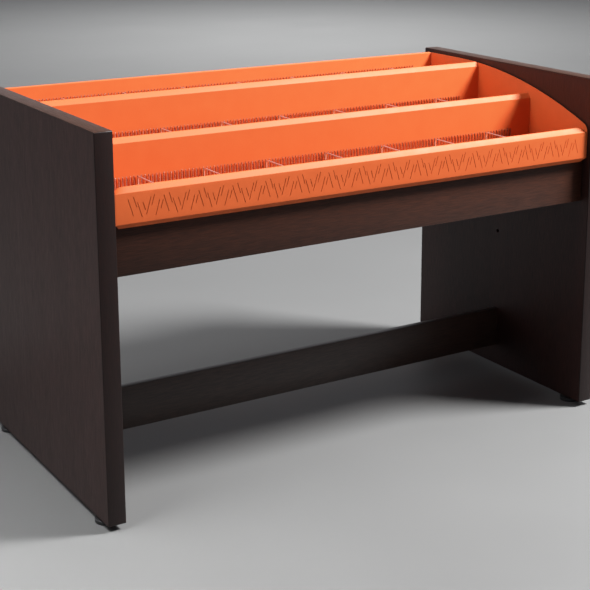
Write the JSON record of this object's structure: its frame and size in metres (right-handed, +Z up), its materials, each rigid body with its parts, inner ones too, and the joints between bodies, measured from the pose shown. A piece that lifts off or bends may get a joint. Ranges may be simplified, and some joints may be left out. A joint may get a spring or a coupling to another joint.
{
  "type": "cd and dvd bin",
  "caption": "Free-standing browser bin for discs: dark board end panels and rails carry a stepped sheet-steel tray whose rows hold lift-out wire racks.",
  "frame": {"origin": "on the floor, under the middle of the bin", "axes": "+X along the bin to the right-hand panel seen from the front, +Y from the front to the back, +Z up"},
  "size_m": [1.286, 0.662, 0.809],
  "materials": {
    "dark_board": "satin wenge-look laminate",
    "edge_band": "satin edge strip",
    "orange_powder_coat": "semi-gloss powder coat",
    "bright_wire": "bright plated wire",
    "zinc_steel": "zinc plated",
    "black_plastic": "matte moulded",
    "beech_dowel": "plain fluted beech"
  },
  "bodies": {
    "base": {"left_end_panel": "dark_board", "left_edge_band": "edge_band", "right_end_panel": "dark_board", "right_edge_band": "edge_band", "front_apron": "dark_board", "rear_apron": "dark_board", "lower_stretcher": "dark_board", "front_apron_lower_left_dowel": "beech_dowel", "front_apron_lower_right_dowel": "beech_dowel", "front_apron_upper_left_dowel": "beech_dowel", "front_apron_upper_right_dowel": "beech_dowel", "rear_apron_lower_left_dowel": "beech_dowel", "rear_apron_lower_right_dowel": "beech_dowel", "rear_apron_upper_left_dowel": "beech_dowel", "rear_apron_upper_right_dowel": "beech_dowel", "lower_stretcher_lower_left_dowel": "beech_dowel", "lower_stretcher_lower_right_dowel": "beech_dowel", "lower_stretcher_upper_left_dowel": "beech_dowel", "lower_stretcher_upper_right_dowel": "beech_dowel", "front_apron_left_cam_bolt": "zinc_steel", "front_apron_right_cam_bolt": "zinc_steel", "rear_apron_left_cam_bolt": "zinc_steel", "rear_apron_right_cam_bolt": "zinc_steel", "lower_stretcher_left_cam_bolt": "zinc_steel", "lower_stretcher_right_cam_bolt": "zinc_steel", "front_apron_left_cam_disc": "zinc_steel", "front_apron_right_cam_disc": "zinc_steel", "rear_apron_left_cam_disc": "zinc_steel", "rear_apron_right_cam_disc": "zinc_steel", "lower_stretcher_left_cam_disc": "zinc_steel", "lower_stretcher_right_cam_disc": "zinc_steel", "front_apron_left_screw": "zinc_steel", "front_apron_right_screw": "zinc_steel", "rear_apron_left_screw": "zinc_steel", "rear_apron_right_screw": "zinc_steel", "front_row_pan": "orange_powder_coat", "middle_row_pan": "orange_powder_coat", "back_row_pan": "orange_powder_coat", "left_cheek": "orange_powder_coat", "right_cheek": "orange_powder_coat", "front_left_foot_insert": "zinc_steel", "rear_left_foot_insert": "zinc_steel", "front_right_foot_insert": "zinc_steel", "rear_right_foot_insert": "zinc_steel"},
    "front_row_rack": {"front_row_comb": "bright_wire", "front_row_lane_frame": "bright_wire"},
    "middle_row_rack": {"middle_row_comb": "bright_wire", "middle_row_lane_frame": "bright_wire"},
    "back_row_rack": {"back_row_comb": "bright_wire", "back_row_lane_frame": "bright_wire"},
    "front_left_pad": {"front_left_foot_pad": "black_plastic"},
    "front_left_stud": {"front_left_foot_stud": "zinc_steel"},
    "rear_left_pad": {"rear_left_foot_pad": "black_plastic"},
    "rear_left_stud": {"rear_left_foot_stud": "zinc_steel"},
    "front_right_pad": {"front_right_foot_pad": "black_plastic"},
    "front_right_stud": {"front_right_foot_stud": "zinc_steel"},
    "rear_right_pad": {"rear_right_foot_pad": "black_plastic"},
    "rear_right_stud": {"rear_right_foot_stud": "zinc_steel"}
  },
  "joints": [
    {"name": "front_row_rack_lift", "type": "slide", "parent": "base", "child": "front_row_rack", "axis": [0, 0, 1], "range_m": [0, 0.1]},
    {"name": "middle_row_rack_lift", "type": "slide", "parent": "base", "child": "middle_row_rack", "axis": [0, 0, 1], "range_m": [0, 0.1]},
    {"name": "back_row_rack_lift", "type": "slide", "parent": "base", "child": "back_row_rack", "axis": [0, 0, 1], "range_m": [0, 0.1]},
    {"name": "front_left_pad_travel", "type": "slide", "parent": "base", "child": "front_left_pad", "axis": [0, 0, 1], "range_m": [-0.01, 0]},
    {"name": "front_left_stud_turn", "type": "hinge", "parent": "front_left_pad", "child": "front_left_stud", "pos_m": [-0.619, -0.276, 0], "axis": [0, 0, 1], "range_deg": [-2880, 0]},
    {"name": "rear_left_pad_travel", "type": "slide", "parent": "base", "child": "rear_left_pad", "axis": [0, 0, 1], "range_m": [-0.01, 0]},
    {"name": "rear_left_stud_turn", "type": "hinge", "parent": "rear_left_pad", "child": "rear_left_stud", "pos_m": [-0.619, 0.276, 0], "axis": [0, 0, 1], "range_deg": [-2880, 0]},
    {"name": "front_right_pad_travel", "type": "slide", "parent": "base", "child": "front_right_pad", "axis": [0, 0, 1], "range_m": [-0.01, 0]},
    {"name": "front_right_stud_turn", "type": "hinge", "parent": "front_right_pad", "child": "front_right_stud", "pos_m": [0.619, -0.276, 0], "axis": [0, 0, 1], "range_deg": [-2880, 0]},
    {"name": "rear_right_pad_travel", "type": "slide", "parent": "base", "child": "rear_right_pad", "axis": [0, 0, 1], "range_m": [-0.01, 0]},
    {"name": "rear_right_stud_turn", "type": "hinge", "parent": "rear_right_pad", "child": "rear_right_stud", "pos_m": [0.619, 0.276, 0], "axis": [0, 0, 1], "range_deg": [-2880, 0]}
  ],
  "couplings": [
    {"joint": "front_left_stud_turn", "follows": "front_left_pad_travel", "rad_per_m": 5026.5},
    {"joint": "rear_left_stud_turn", "follows": "rear_left_pad_travel", "rad_per_m": 5026.5},
    {"joint": "front_right_stud_turn", "follows": "front_right_pad_travel", "rad_per_m": 5026.5},
    {"joint": "rear_right_stud_turn", "follows": "rear_right_pad_travel", "rad_per_m": 5026.5}
  ]
}
